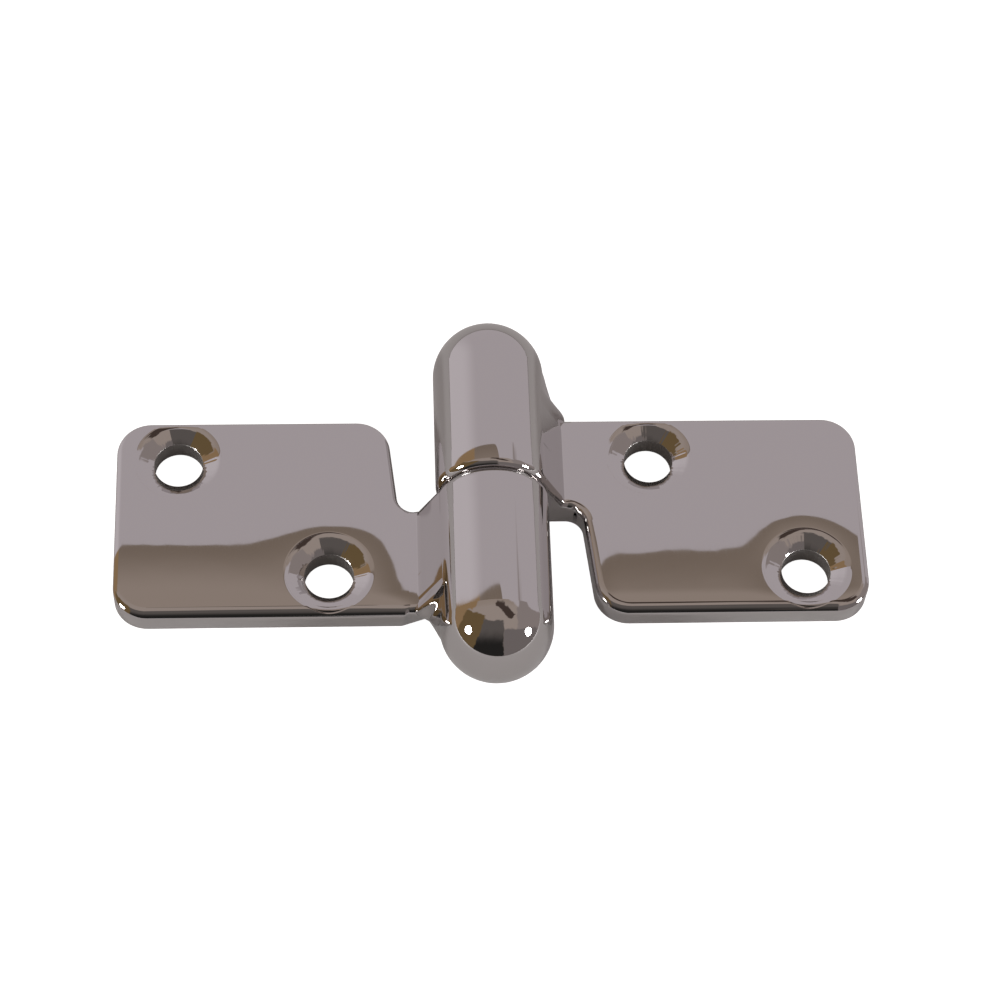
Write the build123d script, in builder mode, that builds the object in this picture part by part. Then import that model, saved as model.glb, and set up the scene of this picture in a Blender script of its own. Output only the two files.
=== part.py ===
from build123d import *
from math import asin, atan2, cos, hypot, radians, sin, sqrt, tan
import os

os.makedirs("parts", exist_ok=True)

# A cast and polished lift-off hinge lying open, face up.
# X runs across the two leaves, Y along the barrel and Z up from the mounting plane.
# The pin leaf lies on -X with its knuckle on -Y, the socket leaf on +X with its knuckle on +Y.
# Both castings are drawn as the one on -X, and the socket leaf is then turned half round Z.

# Leaves, in millimetres
overall_width = 92.0
leaf_height = 27.0
leaf_thickness = 3.7
leaf_corner_radius = 4.2
face_edge_round = 1.0

# Barrel, parted between its two knuckles a little off the middle of its length
barrel_diameter = 13.7
barrel_length = 48.4
barrel_lift = 0.4
joint_offset = 0.5
knuckle_gap = 0.7

# Web from each leaf to its knuckle: a fillet that flares round the leaf's edge, and a straight flank over it
web_fillet = 3.4
flare_room_share = 0.9
flank_reach = 2.35
flank_bite = 0.05
flank_setback = 5.0
flank_bend = 4.0
flank_sink = 1.6

# Relief under the flare, where the underside of the web runs up to the barrel
relief_angle = 33.0
relief_depth = 1.2

# Notch in each leaf, with room for the other leaf's knuckle and web
notch_gap = 4.45
notch_taper = 6.0
notch_corner_radius = 2.2
web_clearance = 0.2
knuckle_clearance = 0.8

# Two countersunk screw holes in each leaf, set diagonally
screw_hole_diameter = 6.0
countersink_diameter = 10.1
countersink_angle = 120.0
countersink_edge_break = 0.3
outer_hole_inset = 7.6
inner_hole_reach = 19.9
hole_offset = 7.9

# Pin, its press seat and its running bore
pin_diameter = 6.0
pin_seat_depth = 14.0
pin_free_length = 15.0
pin_nose_chamfer = 1.0
pin_seat_chamfer = 0.4
bore_clearance = 0.05
bore_end_clearance = 1.0
bore_mouth_chamfer = 0.5
drill_point_angle = 118.0

# Thrust washer between the knuckles
washer_diameter = 11.6
washer_bore_clearance = 0.08
washer_face_clearance = 0.03

# How near two places count as the same when an edge is looked for
same_place = 0.001

# Sizes that follow from those above
half_width = overall_width / 2
half_height = leaf_height / 2
barrel_radius = barrel_diameter / 2
axis_height = barrel_radius + barrel_lift
dome_y = barrel_length / 2 - barrel_radius
pin_radius = pin_diameter / 2
barrel_axis = Axis((0, 0, axis_height), (0, 1, 0))
axis_plane = Plane.XY.offset(axis_height)
notch_reach = barrel_radius + notch_gap
outer_hole_reach = half_width - outer_hole_inset

# The two joint faces, each as its leaf is drawn on -X
pin_face = joint_offset - knuckle_gap / 2
socket_face = -joint_offset - knuckle_gap / 2

# The flare from a leaf's edge into its knuckle ends short of the round end
web_radius = min(web_fillet, flare_room_share * (dome_y - half_height))

# A leaf's flat and its web are drawn apart and meet at a seam beyond the notch's inner corner
seam = notch_reach + notch_corner_radius
seam_rise = 2 * notch_corner_radius

# The flank leaves the face at its foot and grazes the barrel
flank_foot = barrel_radius + flank_reach
foot_to_axis = hypot(flank_foot, axis_height - leaf_thickness)
grazing_radius = barrel_radius - flank_bite
flank_slope = atan2(axis_height - leaf_thickness, flank_foot) + asin(grazing_radius / foot_to_axis)
flank_length = sqrt(foot_to_axis**2 - grazing_radius**2)


def notch_side(y, web_end):
    """How far the notch's tapered side stands from the middle at a place along the barrel."""
    return notch_reach + (y - web_end) * tan(radians(notch_taper))


def leaf_plate(web_end):
    """The flat of a leaf with its notch, without the corner that carries the web."""
    with BuildPart() as plate:
        with BuildSketch() as plan:
            with BuildLine():
                Polyline(
                    (0, -half_height),
                    (-half_width, -half_height),
                    (-half_width, half_height),
                    (-notch_side(half_height, web_end), half_height),
                    (-notch_reach, web_end),
                    (0, web_end),
                    close=True,
                )
            make_face()
            corners = plan.vertices().sort_by(Axis.X)
            fillet(corners[0:3], leaf_corner_radius)
            fillet(corners[3], notch_corner_radius)
        extrude(amount=leaf_thickness)
        face_edges = plate.faces().sort_by(Axis.Z)[-1].outer_wire().edges()
        fillet(face_edges.filter_by_position(Axis.X, -half_width, 0, (True, False)), face_edge_round)
        with BuildSketch():
            with Locations((0, -half_height)):
                Rectangle(seam, half_height + web_end + seam_rise, align=(Align.MAX, Align.MIN))
        extrude(amount=leaf_thickness, mode=Mode.SUBTRACT)
    return plate.part


def knuckle_with_web(web_end):
    """A round-ended knuckle and the corner of the leaf that flares into it, cut to the notch and rounded."""
    long_end = web_end + seam_rise + notch_corner_radius
    far_end = long_end + notch_corner_radius
    with BuildPart() as knuckle:
        # The web reaches below the mounting plane and past the joint until its flare is made
        with BuildSketch(Plane.XY.offset(-barrel_diameter)):
            with Locations((0, -half_height)):
                Rectangle(seam, half_height + long_end, align=(Align.MAX, Align.MIN))
        extrude(amount=barrel_diameter + leaf_thickness)
        near_edge = knuckle.faces().sort_by(Axis.Z)[-1].edges().sort_by(Axis.Y)[0]
        fillet(near_edge, face_edge_round)
        with BuildSketch(axis_plane):
            with BuildLine():
                side = Polyline((0, long_end), (barrel_radius, long_end), (barrel_radius, -dome_y))
                dome = TangentArc(side @ 1, (0, -dome_y - barrel_radius), tangent=side % 1)
                Line(dome @ 1, side @ 0)
            make_face()
        revolve(axis=barrel_axis)
        fillet(knuckle.edges().filter_by(lambda edge: meets_barrel(edge, long_end)), web_radius)
        split(bisect_by=Plane.XY, keep=Keep.TOP)

        # The notch cuts web and barrel to one line, and one round follows it from leaf to knuckle
        with BuildSketch() as notch:
            with BuildLine():
                Polyline(
                    (barrel_diameter, web_end),
                    (-notch_reach, web_end),
                    (-notch_side(far_end, web_end), far_end),
                    (barrel_diameter, far_end),
                    close=True,
                )
            make_face()
            fillet(notch.vertices().sort_by_distance((-notch_reach, web_end))[0], notch_corner_radius)
        extrude(amount=2 * barrel_diameter, mode=Mode.SUBTRACT)
        joint_face = knuckle.faces().filter_by(Axis.Y).sort_by_distance((0, web_end, axis_height))[0]
        rim = joint_face.edges().filter_by_position(Axis.Z, leaf_thickness, 2 * axis_height)
        fillet(rim, face_edge_round)
        split(bisect_by=Plane.XZ.offset(-web_end - seam_rise), keep=Keep.TOP)
        add(web_flank(web_end))
        add(flare_relief(), mode=Mode.SUBTRACT)
    return knuckle.part


def meets_barrel(edge, long_end):
    """Whether an edge lies where the web runs into the side of the barrel."""
    middle = edge.position_at(0.5)
    from_axis = hypot(middle.X, middle.Z - axis_height)
    on_barrel = abs(from_axis - barrel_radius) < same_place
    return on_barrel and middle.X < 0 and -dome_y + same_place < middle.Y < long_end - same_place


def web_flank(web_end):
    """The straight flank over the web's fillet, which bends in and sinks under it before the flare."""
    with BuildPart() as flank:
        with BuildSketch(Plane.XY.offset(leaf_thickness)):
            with BuildLine():
                bend_start = -half_height + flank_setback
                foot = Polyline((0, web_end), (-flank_foot, web_end), (-flank_foot, bend_start))
                bend_end = (flank_sink - flank_foot, bend_start - flank_bend)
                bend = TangentArc(foot @ 1, bend_end, tangent=foot % 1)
                Polyline(bend @ 1, (0, bend_start - flank_bend), foot @ 0)
            make_face()
        extrude(amount=flank_length, dir=(cos(flank_slope), 0, sin(flank_slope)))
        joint_edge = flank.faces().sort_by(Axis.Y)[-1].edges().sort_by(Axis.X)[0]
        fillet(joint_edge, face_edge_round)
    return flank.part


def flare_relief():
    """The space under the flare, round the lower side of the barrel."""
    slant = radians(relief_angle)
    down_slant = Plane(
        origin=(0, 0, axis_height),
        x_dir=(-cos(slant), 0, -sin(slant)),
        z_dir=(sin(slant), 0, -cos(slant)),
    )
    with BuildPart() as relief:
        with BuildSketch(down_slant):
            with Locations((barrel_radius, relief_depth - half_height)):
                flare_length = dome_y - half_height
                Rectangle(barrel_diameter, flare_length + relief_depth, align=(Align.MIN, Align.MAX))
        revolve(axis=barrel_axis.reverse(), revolution_arc=90 - relief_angle)
    return relief.part


def pin_bore(radius, depth, face):
    """The space of a drilled blind bore, from a knuckle's joint face inwards."""
    drill_point = radius / tan(radians(drill_point_angle / 2))
    with BuildPart() as bore:
        with BuildSketch(axis_plane):
            with BuildLine():
                Polyline(
                    (0, face),
                    (radius + bore_mouth_chamfer, face),
                    (radius, face - bore_mouth_chamfer),
                    (radius, face - depth),
                    (0, face - depth - drill_point),
                    close=True,
                )
            make_face()
        revolve(axis=barrel_axis)
    return bore.part


def leaf_casting(plate, knuckle, bore):
    """A whole leaf: flat, web and knuckle in one, drilled for its screws and its pin."""
    with BuildPart() as casting:
        add(plate)
        add(knuckle)
        add(bore, mode=Mode.SUBTRACT)
        outer_hole = (-outer_hole_reach, hole_offset, leaf_thickness)
        inner_hole = (-inner_hole_reach, -hole_offset, leaf_thickness)
        with Locations(outer_hole, inner_hole):
            CounterSinkHole(
                screw_hole_diameter / 2,
                countersink_diameter / 2,
                counter_sink_angle=countersink_angle,
            )
        cones = casting.faces().filter_by(GeomType.CONE).filter_by_position(Axis.Z, 0, leaf_thickness)
        rims = cones.edges().filter_by_position(Axis.Z, leaf_thickness - face_edge_round / 2, leaf_thickness)
        chamfer(rims, countersink_edge_break)
    return casting.part


# Pin knuckle, faced off inside its web, which runs on past the joint clear of the socket knuckle
pin_web_end = pin_face + knuckle_gap - web_clearance
with BuildPart() as pin_knuckle:
    add(knuckle_with_web(pin_web_end))
    with BuildSketch(Plane(origin=(0, pin_face, axis_height), z_dir=(0, 1, 0))):
        Circle(barrel_radius + knuckle_clearance)
    extrude(amount=knuckle_gap, mode=Mode.SUBTRACT)

# Pin leaf casting
seat = pin_bore(pin_radius, pin_seat_depth, pin_face)
with BuildPart() as pin_leaf:
    add(leaf_casting(leaf_plate(pin_web_end), pin_knuckle.part, seat))
pin_leaf.part.label = "pin_leaf"
export_step(pin_leaf.part, "parts/pin_leaf.step")

# Socket leaf casting, with its web flush with its joint face, turned to the other side of the joint
socket_depth = pin_free_length - knuckle_gap + bore_end_clearance
socket = pin_bore(pin_radius + bore_clearance, socket_depth, socket_face)
with BuildPart() as socket_leaf:
    socket_casting = leaf_casting(leaf_plate(socket_face), knuckle_with_web(socket_face), socket)
    add(socket_casting, rotation=(0, 0, 180))
socket_leaf.part.label = "socket_leaf"
export_step(socket_leaf.part, "parts/socket_leaf.step")

# Hinge pin, pressed into the pin leaf, with a tapered nose to find the socket
with BuildPart() as hinge_pin:
    with BuildSketch(axis_plane) as half_pin:
        with Locations((0, pin_face - pin_seat_depth)):
            Rectangle(pin_radius, pin_seat_depth + pin_free_length, align=(Align.MIN, Align.MIN))
        outer_corners = half_pin.vertices().group_by(Axis.X)[-1].sort_by(Axis.Y)
        chamfer(outer_corners[0], pin_seat_chamfer)
        chamfer(outer_corners[-1], pin_nose_chamfer)
    revolve(axis=barrel_axis)
hinge_pin.part.label = "hinge_pin"
export_step(hinge_pin.part, "parts/hinge_pin.step")

# Thrust washer, loose on the pin between the two knuckles
with BuildPart() as thrust_washer:
    with BuildSketch(Plane(origin=(0, pin_face + washer_face_clearance, axis_height), z_dir=(0, 1, 0))):
        Circle(washer_diameter / 2)
        Circle(pin_radius + washer_bore_clearance, mode=Mode.SUBTRACT)
    extrude(amount=knuckle_gap - 2 * washer_face_clearance)
thrust_washer.part.label = "thrust_washer"
export_step(thrust_washer.part, "parts/thrust_washer.step")
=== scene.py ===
# %% [markdown]
# # A polished lift-off hinge
# Two cast leaves, a pin and a washer come from a imported model in metres, and this lesson dresses them.
# The castings are mirror bright, so most of what is seen is the room: the studio is built as carefully
# as the steel. The model is loaded first.

# %% Load the frame
import math

import bpy
from mathutils import Matrix, Vector


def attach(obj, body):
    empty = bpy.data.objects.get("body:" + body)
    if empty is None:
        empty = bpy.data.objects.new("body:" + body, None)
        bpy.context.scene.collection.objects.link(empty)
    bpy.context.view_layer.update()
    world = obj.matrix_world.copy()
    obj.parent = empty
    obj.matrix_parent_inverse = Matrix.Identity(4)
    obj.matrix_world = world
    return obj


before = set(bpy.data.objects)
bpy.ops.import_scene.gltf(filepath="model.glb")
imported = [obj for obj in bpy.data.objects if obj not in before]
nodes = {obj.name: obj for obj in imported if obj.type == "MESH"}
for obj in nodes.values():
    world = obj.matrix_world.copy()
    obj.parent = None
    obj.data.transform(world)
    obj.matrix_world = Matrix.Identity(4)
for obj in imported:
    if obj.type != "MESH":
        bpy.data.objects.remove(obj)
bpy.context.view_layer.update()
bpy.ops.object.select_all(action="DESELECT")
MM = 0.001

# %% [markdown]
# ## The camera
# The hinge is seen from the front and well above, through a long lens. A camera can be turned by hand until
# it looks right, but here it is set by what it aims at on the mounting plane, how far it stands back, how
# steeply it looks down, how far it is turned round the hinge and how far it leans.

# %% Camera
AIM = Vector((1.38, 4.0, 0.0)) * MM
STAND_OFF = 373.54 * MM
LOOK_DOWN = math.radians(60.17)
TURN = math.radians(-5.82)
LEAN = math.radians(4.52)
LENS = 108.0
NEAREST, FARTHEST = 0.01, 20.0

turned = (
    Matrix.Rotation(TURN, 4, "Z")
    @ Matrix.Rotation(math.pi / 2 - LOOK_DOWN, 4, "X")
    @ Matrix.Rotation(LEAN, 4, "Z")
)
bpy.ops.object.camera_add()
camera = bpy.context.object
camera.name = "camera"
camera.matrix_world = Matrix.Translation(AIM) @ turned @ Matrix.Translation((0, 0, STAND_OFF))
camera.data.lens = LENS
camera.data.clip_start = NEAREST
camera.data.clip_end = FARTHEST
bpy.context.scene.camera = camera
print("camera at", [round(c / MM, 1) for c in camera.location])

# %% [markdown]
# ## Node helpers
# Every finish is a small network of nodes. It could be wired by hand in the shader editor, but dozens of small
# steps of arithmetic are easier to read as lines of code. One helper adds a node with its settings and values,
# one does a step of arithmetic, one makes a soft step, and two mix colours and numbers.


# %% Node helpers
def add_node(tree, kind, settings=None, **values):
    """A node of one kind, with its own settings and with values on its named inputs."""
    node = tree.nodes.new(kind)
    for name, value in (settings or {}).items():
        setattr(node, name, value)
    for name, value in values.items():
        plug(tree, node.inputs[name.replace("_", " ")], value)
    return node


def plug(tree, socket, value):
    """Joins another node's output to a socket, or sets a plain value on it."""
    if isinstance(value, bpy.types.NodeSocket):
        tree.links.new(value, socket)
    else:
        socket.default_value = value


def math_node(tree, operation, *values):
    """One step of arithmetic on outputs or plain numbers."""
    node = add_node(tree, "ShaderNodeMath", {"operation": operation})
    for socket, value in zip(node.inputs, values):
        plug(tree, socket, value)
    return node.outputs["Value"]


def vector_node(tree, operation, *values):
    """One step of arithmetic on directions or places."""
    node = add_node(tree, "ShaderNodeVectorMath", {"operation": operation})
    for socket, value in zip(node.inputs, values):
        plug(tree, socket, value)
    return node.outputs["Value" if operation == "DOT_PRODUCT" else "Vector"]


print("helpers for single nodes")


# %% Helpers for several nodes
def chain(tree, operation, first, *rest):
    """The same step of arithmetic taken along several values."""
    for value in rest:
        first = math_node(tree, operation, first, value)
    return first


def how_far_above(tree, value, level):
    """How far a value is above a level, and 0 where it is below."""
    return math_node(tree, "MAXIMUM", math_node(tree, "SUBTRACT", value, level), 0.0)


def soft_step(tree, value, start, end):
    """0 at the start, 1 at the end and a soft rise between them."""
    node = add_node(tree, "ShaderNodeMapRange", {"interpolation_type": "SMOOTHSTEP"})
    plug(tree, node.inputs["Value"], value)
    plug(tree, node.inputs["From Min"], start)
    plug(tree, node.inputs["From Max"], end)
    return node.outputs["Result"]


def mix_colour(tree, share, first, second):
    """Two colours mixed by a share, each an output or a plain colour: a Mix node's sockets 6 and 7."""
    node = add_node(tree, "ShaderNodeMix", {"data_type": "RGBA"})
    plug(tree, node.inputs["Factor"], share)
    for socket, value in ((node.inputs[6], first), (node.inputs[7], second)):
        plug(tree, socket, value if isinstance(value, bpy.types.NodeSocket) else (*value, 1.0))
    return node.outputs[2]


def mix_value(tree, share, first, second):
    """Two numbers mixed by a share."""
    node = add_node(tree, "ShaderNodeMix", {"data_type": "FLOAT"})
    for socket, value in zip(node.inputs, (share, None, first, second)):
        if value is not None:
            plug(tree, socket, value)
    return node.outputs[0]


print("helpers for several nodes")

# %% [markdown]
# ## The studio
# Polished steel shows its surroundings, and these are a pale tent, open at the front, with two lamps beside the
# opening and a dim, warm room behind. A picture of a room could be wrapped round the scene, but a few masks on
# the direction of a ray make the same tent and room with no image. The room is planned as it would look in a
# mirror ball: each direction is given its place on such a ball, and straight lines across the ball part the
# walls. A little noise moves those lines, because furnished walls have no ruled edges.

# %% Places on the mirror ball
BALL_FRONT = (-0.0504, -0.4949, 0.8675)
BALL_RIGHT = (0.9987, -0.0331, 0.0392)
BALL_UP = (0.0093, 0.8683, 0.4959)
CLUTTER_SCALE, CLUTTER = 9.0, 0.09
MIDDLE_GREY = (0.5, 0.5, 0.5)

world = bpy.data.worlds.new("studio")
bpy.context.scene.world = world
world.use_nodes = True
tree = world.node_tree
tree.nodes.clear()
direction = add_node(tree, "ShaderNodeTexCoord").outputs["Generated"]
directions = add_node(tree, "ShaderNodeSeparateXYZ", Vector=direction).outputs
across, along = directions["X"], directions["Y"]
half_way = vector_node(tree, "NORMALIZE", vector_node(tree, "ADD", direction, BALL_FRONT))
cloud = add_node(tree, "ShaderNodeTexNoise", Vector=half_way, Scale=CLUTTER_SCALE, Detail=2.0)
clutter = vector_node(tree, "SUBTRACT", cloud.outputs["Color"], MIDDLE_GREY)
clutter = vector_node(tree, "MULTIPLY", clutter, (CLUTTER, CLUTTER, CLUTTER))
half_way = vector_node(tree, "ADD", half_way, clutter)
ball_x = vector_node(tree, "DOT_PRODUCT", half_way, BALL_RIGHT)
ball_y = vector_node(tree, "DOT_PRODUCT", half_way, BALL_UP)
print("ball nodes", len(tree.nodes))

# %% Lines on the mirror ball
LINE_WIDTH = 0.03


def beyond(line):
    """A crisp mask of one side of a straight line: its shares of x and y add up to more than its level."""
    x_share, y_share, level = line
    value = math_node(tree, "MULTIPLY_ADD", ball_x, x_share, math_node(tree, "MULTIPLY", ball_y, y_share))
    return soft_step(tree, value, level - LINE_WIDTH / 2, level + LINE_WIDTH / 2)


def inside(lines):
    """The part of the ball beyond all the lines."""
    return chain(tree, "MULTIPLY", *(beyond(line) for line in lines))


print("lines", LINE_WIDTH, "of the ball's radius wide")

# %% [markdown]
# ## The tent
# The tent's front hem is the most telling line in the steel: on the leaves it parts pale grey from brown. A
# plane across the scene would give a straight hem, but the real one hangs back on the right, so the mask bends
# there. The right flap shows only on the round end of the barrel, and it gets lines of its own.

# %% Tent
TENT_EDGE, TENT_SOFTNESS = 0.470, 0.0006
FOLD_START, TENT_BOW, TENT_SLANT = 0.08, 0.9, 0.0055
TENT_GREY = (0.515, 0.468, 0.488)
TENT_LEFT = (0.64, 0.59, 0.615)
TENT_LEFT_SPAN = (-0.35, -0.75)
FLAP_LOW, FLAP_HIGH, FLAP_SIDE = (0.504, 1.0, 0.540), (0.731, 1.0, 0.749), (-1.0, 0.0, -0.38)
FLAP_AREA = ((1.0, 0.0, 0.05), (0.0, -1.0, -0.455))

fold = how_far_above(tree, across, FOLD_START)
tent_depth = math_node(tree, "MULTIPLY_ADD", math_node(tree, "MULTIPLY", fold, fold), TENT_BOW, along)
to_left = math_node(tree, "MAXIMUM", math_node(tree, "MULTIPLY", across, -1.0), 0.0)
tent_depth = math_node(tree, "MULTIPLY_ADD", to_left, TENT_SLANT, tent_depth)
in_tent = soft_step(tree, tent_depth, TENT_EDGE - TENT_SOFTNESS, TENT_EDGE + TENT_SOFTNESS)
flap_top = math_node(tree, "MAXIMUM", beyond(FLAP_HIGH), beyond(FLAP_SIDE))
right_flap = math_node(tree, "MINIMUM", beyond(FLAP_LOW), flap_top)
in_tent = mix_value(tree, inside(FLAP_AREA), in_tent, right_flap)
tent = mix_colour(tree, soft_step(tree, across, *TENT_LEFT_SPAN), TENT_GREY, TENT_LEFT)
print("nodes with the tent", len(tree.nodes))

# %% [markdown]
# ## The room
# In front of the tent the steel mirrors a ceiling, brown and grey walls, a dark door and the unlit depth of the
# room. Modelled walls would take long to place and to light, so each is a colour laid over the ones before it,
# in the part of the ball that its lines enclose. The camera itself sees plain white.

# %% Ceiling
CEILING_BY_TENT = (0.23, 0.18, 0.145)
CEILING_LIGHT = (0.365, 0.298, 0.257)
CEILING_PALE = (0.40, 0.335, 0.30)
CEILING_SPAN, BY_TENT_SPAN = (0.2, 0.40), (0.432, 0.469)

room = mix_colour(tree, soft_step(tree, along, *CEILING_SPAN), CEILING_PALE, CEILING_LIGHT)
room = mix_colour(tree, soft_step(tree, along, *BY_TENT_SPAN), room, CEILING_BY_TENT)
print("nodes with the ceiling", len(tree.nodes))

# %% Walls
WALL_BROWN, BROWN_AREA = (0.17, 0.115, 0.055), ((-1.0, 0.0, 0.20), (-0.29, -1.0, -0.145))
WALL_LEFT, LEFT_LINE = (0.33, 0.215, 0.115), (-1.0, 0.563, 0.66)
LEFT_TOP_AREA = ((-1.0, 0.81, 0.658), (0.0, 1.0, 0.30))
WALL_RIGHT, RIGHT_LINE = (0.31, 0.265, 0.255), (1.0, 0.0, 0.36)
WALL_GREY, GREY_AREA = (0.20, 0.175, 0.172), ((1.0, 0.0, 0.12), (0.0, -1.0, 0.03))

room = mix_colour(tree, inside(BROWN_AREA), room, WALL_BROWN)
left_wall = math_node(tree, "MAXIMUM", beyond(LEFT_LINE), inside(LEFT_TOP_AREA))
room = mix_colour(tree, left_wall, room, WALL_LEFT)
room = mix_colour(tree, beyond(RIGHT_LINE), room, WALL_RIGHT)
room = mix_colour(tree, inside(GREY_AREA), room, WALL_GREY)
print("nodes with the walls", len(tree.nodes))

# %% Door and depth of the room
DOOR_DARK = (0.07, 0.05, 0.042)
DOOR_AREA = (
    (1.0, -1.0, -0.43), (-1.0, 1.0, -0.125), (1.0, 1.0, 0.375), (-1.0, -1.0, -0.55), (0.0, -1.0, -0.43)
)
ROOM_DIM, ROOM_BLACK = (0.13, 0.115, 0.108), (0.022, 0.021, 0.02)
DIM_SPAN = (-0.32, -0.02)
DEPTH_AREA = ((1.0, -0.386, -0.258), (-1.0, 0.0, -0.12), (0.0, -1.0, -0.12))

room = mix_colour(tree, inside(DOOR_AREA), room, DOOR_DARK)
depth = mix_colour(tree, soft_step(tree, ball_y, *DIM_SPAN), ROOM_BLACK, ROOM_DIM)
room = mix_colour(tree, inside(DEPTH_AREA), room, depth)
print("nodes with the room", len(tree.nodes))

# %% What the steel and the camera see
WHITE = (1.0, 1.0, 1.0)

studio = mix_colour(tree, in_tent, room, tent)
seen_by_camera = add_node(tree, "ShaderNodeLightPath").outputs["Is Camera Ray"]
shown = mix_colour(tree, seen_by_camera, studio, WHITE)
background = add_node(tree, "ShaderNodeBackground", Color=shown)
add_node(tree, "ShaderNodeOutputWorld", Surface=background.outputs["Background"])
print("world nodes", len(tree.nodes))

# %% [markdown]
# ## Floor and lamps
# The hinge lies on pale paper. Its own light only tops up what the camera sees to white, so the paper keeps a
# faint shadow, and the steel shows it as pale grey. Two round softboxes stand low on either side of the tent's
# opening: point lamps would make hard sparks, and these leave the soft white glints of the real ones.

# %% Floor
FLOOR_SIZE = 6.0
PAPER = (0.58, 0.575, 0.58, 1.0)
PAPER_GLOW = 0.96
PAPER_GLOW_IN_STEEL = 0.02

bpy.ops.mesh.primitive_plane_add(size=FLOOR_SIZE)
floor = bpy.context.object
floor.name = "floor"
paper = bpy.data.materials.new("floor_paper")
paper.use_nodes = True
tree = paper.node_tree
tree.nodes.clear()
rays = add_node(tree, "ShaderNodeLightPath").outputs
mirrored = math_node(tree, "MAXIMUM", rays["Is Glossy Ray"], rays["Is Transmission Ray"])
camera_glow = math_node(tree, "MULTIPLY", rays["Is Camera Ray"], PAPER_GLOW)
glow_share = math_node(tree, "MULTIPLY_ADD", mirrored, PAPER_GLOW_IN_STEEL, camera_glow)
diffuse = add_node(tree, "ShaderNodeBsdfDiffuse", Color=PAPER)
glow = add_node(tree, "ShaderNodeEmission", Strength=glow_share)
paper_light = add_node(tree, "ShaderNodeAddShader")
tree.links.new(diffuse.outputs["BSDF"], paper_light.inputs[0])
tree.links.new(glow.outputs["Emission"], paper_light.inputs[1])
add_node(tree, "ShaderNodeOutputMaterial", Surface=paper_light.outputs["Shader"])
floor.data.materials.append(paper)
print("floor", FLOOR_SIZE, "m")

# %% Lamps
LAMP_DISTANCE = 0.9
LAMP_WIDTH = 0.22
LAMP_POWER = 4.5
LAMPS = {"left_lamp": (-111.0, 22.0), "right_lamp": (113.0, 18.0)}

for name, (azimuth, elevation) in LAMPS.items():
    a, e = math.radians(azimuth), math.radians(elevation)
    heading = Vector((math.sin(a) * math.cos(e), math.cos(a) * math.cos(e), math.sin(e)))
    bpy.ops.object.light_add(type="AREA", location=heading * LAMP_DISTANCE)
    lamp = bpy.context.object
    lamp.name = name
    lamp.rotation_euler = heading.to_track_quat("Z", "Y").to_euler()
    lamp.data.shape = "ELLIPSE"
    lamp.data.size = LAMP_WIDTH
    lamp.data.size_y = LAMP_WIDTH
    lamp.data.energy = LAMP_POWER
    print(name, "at", [round(c, 2) for c in lamp.location])

# %% [markdown]
# ## Tool marks
# Buffing, turning and rolling each leave marks of their own on the three finishes, and each is a cloudy pattern,
# often stretched one way. It could be wired anew in each finish, but one node group with named sockets is built
# once and placed in each of them with its own size.

# %% Tool marks group
tool_marks = bpy.data.node_groups.new("tool_marks", "ShaderNodeTree")
for socket_name, in_out, kind in (
    ("Place", "INPUT", "NodeSocketVector"),
    ("Size", "INPUT", "NodeSocketVector"),
    ("Detail", "INPUT", "NodeSocketFloat"),
    ("Height", "OUTPUT", "NodeSocketFloat"),
):
    tool_marks.interface.new_socket(name=socket_name, in_out=in_out, socket_type=kind)
given = add_node(tool_marks, "NodeGroupInput").outputs
scaled = vector_node(tool_marks, "DIVIDE", given["Place"], given["Size"])
cloud = add_node(tool_marks, "ShaderNodeTexNoise", Vector=scaled, Scale=1.0, Detail=given["Detail"])
marks_height = math_node(tool_marks, "SUBTRACT", cloud.outputs["Fac"], 0.5)
add_node(tool_marks, "NodeGroupOutput", Height=marks_height)
print("tool marks nodes", len(tool_marks.nodes))


# %% Start of a finish
def new_finish(name):
    """An empty finish: its node tree, its shader and places on the hinge in millimetres."""
    material = bpy.data.materials.new(name)
    material.use_nodes = True
    tree = material.node_tree
    shader = tree.nodes["Principled BSDF"]
    place = add_node(tree, "ShaderNodeTexCoord").outputs["Object"]
    place = add_node(tree, "ShaderNodeVectorMath", {"operation": "SCALE"}, Vector=place, Scale=1 / MM)
    return material, tree, shader, place.outputs["Vector"]


def marks(tree, place, size, detail):
    """Tool marks around 0, with their size in millimetres along each axis."""
    group = add_node(tree, "ShaderNodeGroup", {"node_tree": tool_marks}, Place=place, Size=size, Detail=detail)
    return group.outputs["Height"]


def dress(node_name, material):
    """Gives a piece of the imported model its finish."""
    slots = nodes[node_name].data.materials
    slots.clear()
    slots.append(material)
    print(node_name, "wears", material.name)


print("places on a finish in units of", MM, "m")


# %% [markdown]
# ## Polished casting
# The leaves are cast in stainless steel, ground and buffed to a mirror. Buffing never leaves a perfect mirror:
# the wheel dips a little round each hole, rolls over the edges and leaves long, shallow waves. Such forms could
# be modelled, but on the faces they are about a tenth of a millimetre or less and a mirror shows each face of a
# mesh, so they are heights in millimetres that a Bump node turns into tilts. The holes are found by folding
# both leaves into one.

# %% Places on the casting
OUTER_HOLE = (38.4, 7.9)
INNER_HOLE = (19.9, -7.9)

casting, tree, shader, place = new_finish("polished_casting")
x, y, z = add_node(tree, "ShaderNodeSeparateXYZ", Vector=place).outputs
reach = math_node(tree, "ABSOLUTE", x)
side = math_node(tree, "MULTIPLY", math_node(tree, "SIGN", x), -1.0)
offset = math_node(tree, "MULTIPLY", y, side)


def from_hole(centre):
    """How far a place is from a hole's axis, in millimetres."""
    dx = math_node(tree, "SUBTRACT", reach, centre[0])
    dy = math_node(tree, "SUBTRACT", offset, centre[1])
    squares = math_node(tree, "MULTIPLY_ADD", dx, dx, math_node(tree, "MULTIPLY", dy, dy))
    return math_node(tree, "SQRT", squares)


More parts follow.
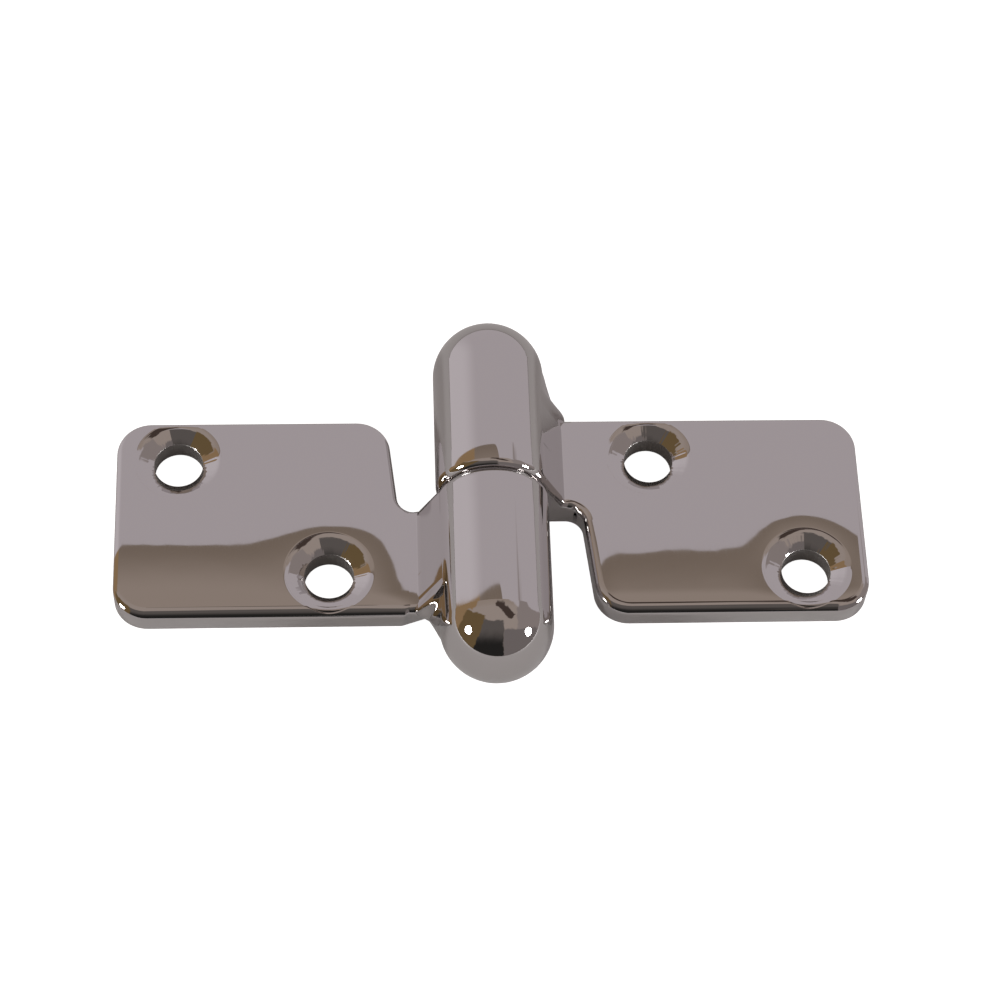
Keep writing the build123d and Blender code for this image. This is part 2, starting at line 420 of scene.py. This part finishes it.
to_outer, to_inner = from_hole(OUTER_HOLE), from_hole(INNER_HOLE)
to_hole = math_node(tree, "MINIMUM", to_outer, to_inner)
by_outer = math_node(tree, "LESS_THAN", to_outer, to_inner)
nearest_x = math_node(tree, "SUBTRACT", reach, mix_value(tree, by_outer, INNER_HOLE[0], OUTER_HOLE[0]))
nearest_y = math_node(tree, "SUBTRACT", offset, mix_value(tree, by_outer, INNER_HOLE[1], OUTER_HOLE[1]))
nearest_hole = add_node(tree, "ShaderNodeCombineXYZ", X=nearest_x, Y=nearest_y).outputs["Vector"]
print("nodes for places", len(tree.nodes))

# %% [markdown]
# ## Broad shape of the polish
# The face of each leaf dips round its holes, is slightly crowned across, falls off at its long edges and rises
# towards the web. A displaced mesh could show this too, but sums of smooth curves are smoother than any mesh.

# %% Dips round the holes
OUTER_DISH, OUTER_SPREAD = 0.13, 3.7
INNER_DISH, INNER_SPREAD = 0.06, 4.5


def dish(distance, depth, spread):
    """A shallow dip of the buffed face round a hole."""
    fall = math_node(tree, "MULTIPLY", math_node(tree, "MULTIPLY", distance, distance), -0.5 / spread**2)
    return math_node(tree, "MULTIPLY", math_node(tree, "EXPONENT", fall), -depth)


outer_dish = dish(to_outer, OUTER_DISH, OUTER_SPREAD)
inner_dish = dish(to_inner, INNER_DISH, INNER_SPREAD)
print("nodes with the dips", len(tree.nodes))

# %% Crown, edges and rise to the web
HALF_LEAF, EDGE_REACH, EDGE_POWER, EDGE_ROLL = 13.5, 3.0, 2.5, 0.003
CROWN, CROWN_BY_SIDE, CROWN_SPAN = 0.0007, 0.00028, (10.0, 16.0)
WEB_RISE_START, WEB_RISE_POWER, WEB_RISE = 14.5, 2.3, 0.004
FACE_SPAN = (8.0, 12.0)

to_edge = math_node(tree, "SUBTRACT", HALF_LEAF, math_node(tree, "ABSOLUTE", y))
edge = how_far_above(tree, EDGE_REACH, to_edge)
edge_roll = math_node(tree, "MULTIPLY", math_node(tree, "POWER", edge, EDGE_POWER), -EDGE_ROLL)
crown_share = math_node(tree, "MULTIPLY_ADD", side, -CROWN_BY_SIDE, -CROWN)
crown = chain(tree, "MULTIPLY", y, y, crown_share, soft_step(tree, reach, *CROWN_SPAN))
web_rise = math_node(tree, "POWER", how_far_above(tree, WEB_RISE_START, reach), WEB_RISE_POWER)
web_rise = math_node(tree, "MULTIPLY", web_rise, WEB_RISE)
face = chain(tree, "ADD", outer_dish, inner_dish, crown, edge_roll, web_rise)
face = math_node(tree, "MULTIPLY", face, soft_step(tree, reach, *FACE_SPAN))
print("nodes with the face", len(tree.nodes))

# %% [markdown]
# ## Rolled rims and edges
# The wheel also rounds what the solids leave sharp: the knuckles at the joint, the rims of the countersinks, the
# long edges of the leaves and the lips of the bores. Wider fillets in the solids would run into each other
# there, so these heights only turn the light further round than the small fillets do.

# %% Roll at the joint
JOINT_PLACE = 0.5
ROLL_REACH, ROLL_POWER, ROLL_DEPTH = 3.8, 1.2, 0.0217
BARREL_HEIGHTS, BARREL_SIDES = (6.0, 13.0), (7.5, 6.8)

to_joint = math_node(tree, "ABSOLUTE", math_node(tree, "SUBTRACT", y, JOINT_PLACE))
rolled = math_node(tree, "POWER", how_far_above(tree, ROLL_REACH, to_joint), ROLL_POWER)
on_top = soft_step(tree, z, *BARREL_HEIGHTS)
on_barrel = math_node(tree, "MULTIPLY", on_top, soft_step(tree, reach, *BARREL_SIDES))
joint_roll = chain(tree, "MULTIPLY", rolled, on_barrel, -ROLL_DEPTH)
print("nodes with the joint", len(tree.nodes))

# %% Rims and lips of the holes
RIM_IN, RIM_OUT, RIM_BEND = 4.55, 5.6, 0.2748
RIM_CUT_START, RIM_CUT = 5.35, 0.268
RIM_CONE_START, RIM_CONE = 4.79, 0.309
LIP_REACH, LIP_ROLL = 4.0, 0.1

rim = math_node(tree, "MINIMUM", math_node(tree, "MAXIMUM", to_hole, RIM_IN), RIM_OUT)
rim_fall = math_node(tree, "SUBTRACT", RIM_OUT, rim)
rim_cut = math_node(tree, "MULTIPLY", how_far_above(tree, RIM_CUT_START, rim), RIM_CUT)
rim_cone = math_node(tree, "MULTIPLY", how_far_above(tree, RIM_CONE_START, rim), RIM_CONE)
rim_roll = chain(tree, "ADD", chain(tree, "MULTIPLY", rim_fall, rim_fall, -RIM_BEND), rim_cut, rim_cone)
lip = how_far_above(tree, LIP_REACH, to_hole)
lip_roll = chain(tree, "MULTIPLY", lip, lip, -LIP_ROLL)
print("nodes with the rims", len(tree.nodes))

# %% Edges of the leaves
BAND_START, BAND_RISE, BAND_TURN = 1.9, 0.8, 0.3125
ROUND_START, ROUND_TURN, ROUND_EASE = 2.7, 0.5, 0.12
FACE_LEVEL = 0.58
LEAF_SPAN, RIM_SPAN = (10.2, 10.8), (5.36, 5.5)

band = math_node(tree, "MINIMUM", how_far_above(tree, z, BAND_START), BAND_RISE)
over_band = how_far_above(tree, z, ROUND_START)
eased = chain(tree, "MULTIPLY", over_band, over_band, ROUND_EASE)
edge_turn = math_node(tree, "MULTIPLY_ADD", over_band, -ROUND_TURN, eased)
edge_turn = math_node(tree, "MULTIPLY_ADD", math_node(tree, "MULTIPLY", band, band), -BAND_TURN, edge_turn)
edge_turn = math_node(tree, "ADD", edge_turn, FACE_LEVEL)
off_rim = soft_step(tree, to_hole, *RIM_SPAN)
on_leaf = math_node(tree, "MULTIPLY", soft_step(tree, reach, *LEAF_SPAN), off_rim)
edge_turn = math_node(tree, "MULTIPLY", edge_turn, on_leaf)
print("nodes with the edges", len(tree.nodes))

# %% [markdown]
# ## Marks, colour and gloss of the casting
# A countersink is cut with a chattering tool, so its cone has facets that fan out from the hole, and the buffed
# faces keep faint waves. The faces are near mirrors, the countersinks a little duller, and the bores and backs
# were never buffed. One roughness for all would look like plastic chrome, so masks part these places.
# The bores are also painted a darker grey, as shade inside the holes.

# %% Chatter and waves
CHATTER, CHATTER_SIZE, CONE_SPAN = 0.05, (0.16, 0.16, 0.16), (5.0, 4.5)
WAVES, WAVE_SIZE = 0.016, (14.0, 14.0, 14.0)
RIPPLE, RIPPLE_SIZE = 0.0012, (3.0, 3.0, 3.0)
FRONT_SPAN = (0.01, 0.05)

round_hole = vector_node(tree, "NORMALIZE", nearest_hole)
in_cone = soft_step(tree, to_hole, *CONE_SPAN)
chatter = chain(tree, "MULTIPLY", marks(tree, round_hole, CHATTER_SIZE, 1.0), in_cone, CHATTER)
waves = math_node(tree, "MULTIPLY", marks(tree, place, WAVE_SIZE, 1.0), WAVES)
ripple = math_node(tree, "MULTIPLY", marks(tree, place, RIPPLE_SIZE, 1.0), RIPPLE)
height = chain(tree, "ADD", face, joint_roll, rim_roll, edge_turn, lip_roll, chatter, waves, ripple)
height = math_node(tree, "MULTIPLY", height, soft_step(tree, z, *FRONT_SPAN))
print("nodes with the marks", len(tree.nodes))

# %% Colour and gloss of the casting
# The second colour is painted shade: the bores get a darker grey than the steel, standing in for the shade
# inside the holes.
STEEL, BORE_PAINTED_SHADE = (0.64, 0.62, 0.615), (0.40, 0.39, 0.38)
BUFFING_SIZE, BUFFING, BUFFED = (0.25, 6.0, 0.25), 0.02, 0.018
SINK_ROUGH, SINK_SPAN, SINK_HEIGHTS = 0.045, (5.25, 5.05), (3.68, 3.55)
BACK_ROUGH, BACK_SPAN = 0.34, (0.05, 0.01)
BORE_ROUGH, BORE_SPAN = 0.45, (3.06, 3.02)

below_face = soft_step(tree, z, *SINK_HEIGHTS)
in_sink = math_node(tree, "MULTIPLY", soft_step(tree, to_hole, *SINK_SPAN), below_face)
in_bore = soft_step(tree, to_hole, *BORE_SPAN)
roughness = math_node(tree, "MULTIPLY_ADD", marks(tree, place, BUFFING_SIZE, 3.0), BUFFING, BUFFED)
roughness = mix_value(tree, in_sink, roughness, SINK_ROUGH)
roughness = mix_value(tree, soft_step(tree, z, *BACK_SPAN), roughness, BACK_ROUGH)
roughness = mix_value(tree, in_bore, roughness, BORE_ROUGH)
bump = add_node(tree, "ShaderNodeBump", Strength=1.0, Distance=MM, Height=height)
# Painted shade: the base colour turns to a darker grey inside the bores.
plug(tree, shader.inputs["Base Color"], mix_colour(tree, in_bore, STEEL, BORE_PAINTED_SHADE))
plug(tree, shader.inputs["Roughness"], roughness)
plug(tree, shader.inputs["Normal"], bump.outputs["Normal"])
shader.inputs["Metallic"].default_value = 1.0
for node_name in ("pin_leaf", "socket_leaf"):
    dress(node_name, casting)
print("casting nodes", len(tree.nodes))

# %% [markdown]
# ## Shoulders of the castings
# On the real castings the flank of each web runs on past the leaf's edge and dies away on the round end of the
# knuckle. Such a skin could be pushed and pulled by hand, but a mirror shows every bump of that, so each
# section is worked out instead: it leaves the barrel along a tangent, turns softly round an edge and runs back
# along the other tangent. The edge starts inside the leaf and rises to the middle of the round end.

# %% Shoulder section
BARREL_RADIUS, AXIS_HEIGHT, ROUND_END = 6.85, 7.25, 17.35
SHOULDER_START, SHOULDER_BEND, SHOULDER_END = 6.5, 11.8, 19.4
EDGE_PLACE, EDGE_RISE, RISE_POWER, NARROWING = (9.81, 2.4), 4.8, 1.1, 1.3
FLARE, FLARE_PLACE, FLARE_SPREAD = 0.9, 13.6, 1.7
ROOT_DEPTH, END_DEPTH, EDGE_PROUD = 0.02, 0.4, 0.01
BURIED, BURIED_UNTIL, BURIED_LENGTH = 0.06, 9.0, 1.5
TURN_LENGTH, TURN_SHARE, SHORTEST = 1.0, 0.45, 1e-6
SIDE_STEPS, TURN_STEPS = 12, 12


def between_0_and_1(value):
    """A number kept between 0 and 1."""
    return min(max(value, 0.0), 1.0)


def shoulder_corners(along_barrel):
    """The upper tangent's root, the edge and the lower tangent's root of one section, from the barrel's axis."""
    past = max(along_barrel - ROUND_END, 0.0)
    share = between_0_and_1((along_barrel - SHOULDER_BEND) / (SHOULDER_END - SHOULDER_BEND))
    outside = math.sqrt(BARREL_RADIUS**2 - past**2)
    radius = outside - ROOT_DEPTH - END_DEPTH * share**8
    sunk = BURIED * between_0_and_1((BURIED_UNTIL - along_barrel) / BURIED_LENGTH) + BURIED * share**4
    reach_out = (EDGE_PLACE[0] - BARREL_RADIUS) * (1 - share) ** NARROWING
    reach_out += FLARE * max(0.0, 1 - ((along_barrel - FLARE_PLACE) / FLARE_SPREAD) ** 2) ** 2
    edge_height = EDGE_PLACE[1] + EDGE_RISE * share**RISE_POWER - AXIS_HEIGHT
    edge = Vector((outside + EDGE_PROUD + reach_out - sunk, edge_height))
    opening = math.acos(min(radius / edge.length, 1.0))
    heading = math.atan2(edge.y, edge.x)
    upper, lower = (
        Vector((math.cos(heading + turn), math.sin(heading + turn))) * radius for turn in (opening, -opening)
    )
    return upper, edge, lower


print("shoulders", SHOULDER_END - SHOULDER_START, "mm long")


# %% Shoulder mesh
def shoulder_section(along_barrel):
    """Places across one section of a shoulder, from the upper tangent round its edge to the lower one."""
    upper, edge, lower = shoulder_corners(along_barrel)
    before, after = (
        edge.lerp(end, min(TURN_LENGTH / max((end - edge).length, SHORTEST), TURN_SHARE))
        for end in (upper, lower)
    )
    section = [upper.lerp(before, i / SIDE_STEPS) for i in range(SIDE_STEPS)]
    for i in range(TURN_STEPS):
        t = i / TURN_STEPS
        section.append(before * (1 - t) ** 2 + edge * (2 * t * (1 - t)) + after * t**2)
    section += [after.lerp(lower, i / SIDE_STEPS) for i in range(SIDE_STEPS + 1)]
    return [Vector((place.x, along_barrel, place.y + AXIS_HEIGHT)) for place in section]


ROWS = 90
row_step = (SHOULDER_END - SHOULDER_START) / (ROWS - 1)
rows = [shoulder_section(SHOULDER_START + row * row_step) for row in range(ROWS)]
count = len(rows[0])
skin_places = [place for row in rows for place in row]
skin_faces = [
    (r * count + c, r * count + (c + 1) % count, (r + 1) * count + (c + 1) % count, (r + 1) * count + c)
    for r in range(ROWS - 1)
    for c in range(count)
]
for first in (0, (ROWS - 1) * count):
    ring = range(first, first + count)
    skin_faces += [(len(skin_places), ring[c], ring[(c + 1) % count]) for c in range(count)]
    skin_places.append(sum((skin_places[i] for i in ring), Vector()) / count)
print("a shoulder has", len(skin_places), "points and", len(skin_faces), "faces")

# %% Shoulders
SMOOTH_UP_TO = math.radians(50)


def add_shoulder(name, body, hand):
    """A shoulder as one closed skin, turned half round for the other leaf, with its casting's finish."""
    skin = bpy.data.meshes.new(name)
    skin.from_pydata([Vector((p.x * hand, p.y * hand, p.z)) * MM for p in skin_places], [], skin_faces)
    piece = bpy.data.objects.new(name, skin)
    bpy.context.collection.objects.link(piece)
    bpy.ops.object.select_all(action="DESELECT")
    piece.select_set(True)
    bpy.context.view_layer.objects.active = piece
    bpy.ops.object.mode_set(mode="EDIT")
    bpy.ops.mesh.select_all(action="SELECT")
    bpy.ops.mesh.normals_make_consistent(inside=False)
    bpy.ops.object.mode_set(mode="OBJECT")
    bpy.ops.object.shade_smooth_by_angle(angle=SMOOTH_UP_TO)
    skin.materials.append(casting)
    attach(piece, body)
    print(name, len(skin.polygons), "faces")


add_shoulder("pin_leaf_shoulder", "pin_side", -1)
add_shoulder("socket_leaf_shoulder", "socket_side", 1)

# %% [markdown]
# ## Pin and washer
# The pin is turned and ground, which leaves fine rings round it, and the washer is stamped from rolled sheet,
# which keeps fine straight lines. Both show only when the hinge is lifted apart. An anisotropic shader could
# stretch their glints, but tool marks in the roughness, and on the pin in a small bump, reach the export too.

# %% Ground pin
PIN_STEEL = (0.6, 0.59, 0.58, 1.0)
TURNING_SIZE, TURNING, GROUND, TURNING_DEPTH = (4.0, 0.12, 4.0), 0.12, 0.2, 0.002

pin_steel, tree, shader, place = new_finish("ground_pin")
turning = marks(tree, place, TURNING_SIZE, 2.0)
plug(tree, shader.inputs["Roughness"], math_node(tree, "MULTIPLY_ADD", turning, TURNING, GROUND))
ring_height = math_node(tree, "MULTIPLY", turning, TURNING_DEPTH)
bump = add_node(tree, "ShaderNodeBump", Strength=1.0, Distance=MM, Height=ring_height)
plug(tree, shader.inputs["Normal"], bump.outputs["Normal"])
shader.inputs["Base Color"].default_value = PIN_STEEL
shader.inputs["Metallic"].default_value = 1.0
dress("hinge_pin", pin_steel)

# %% Washer steel
WASHER_STEEL = (0.5, 0.49, 0.48, 1.0)
ROLLING_SIZE, ROLLING, ROLLED = (0.15, 4.0, 3.0), 0.15, 0.3

washer_steel, tree, shader, place = new_finish("washer_steel")
rolling = marks(tree, place, ROLLING_SIZE, 2.0)
plug(tree, shader.inputs["Roughness"], math_node(tree, "MULTIPLY_ADD", rolling, ROLLING, ROLLED))
shader.inputs["Base Color"].default_value = WASHER_STEEL
shader.inputs["Metallic"].default_value = 1.0
dress("thrust_washer", washer_steel)

# %% [markdown]
# ## The view
# The plain Standard view shows colours as they are.

# %% View
bpy.context.scene.view_settings.view_transform = "Standard"
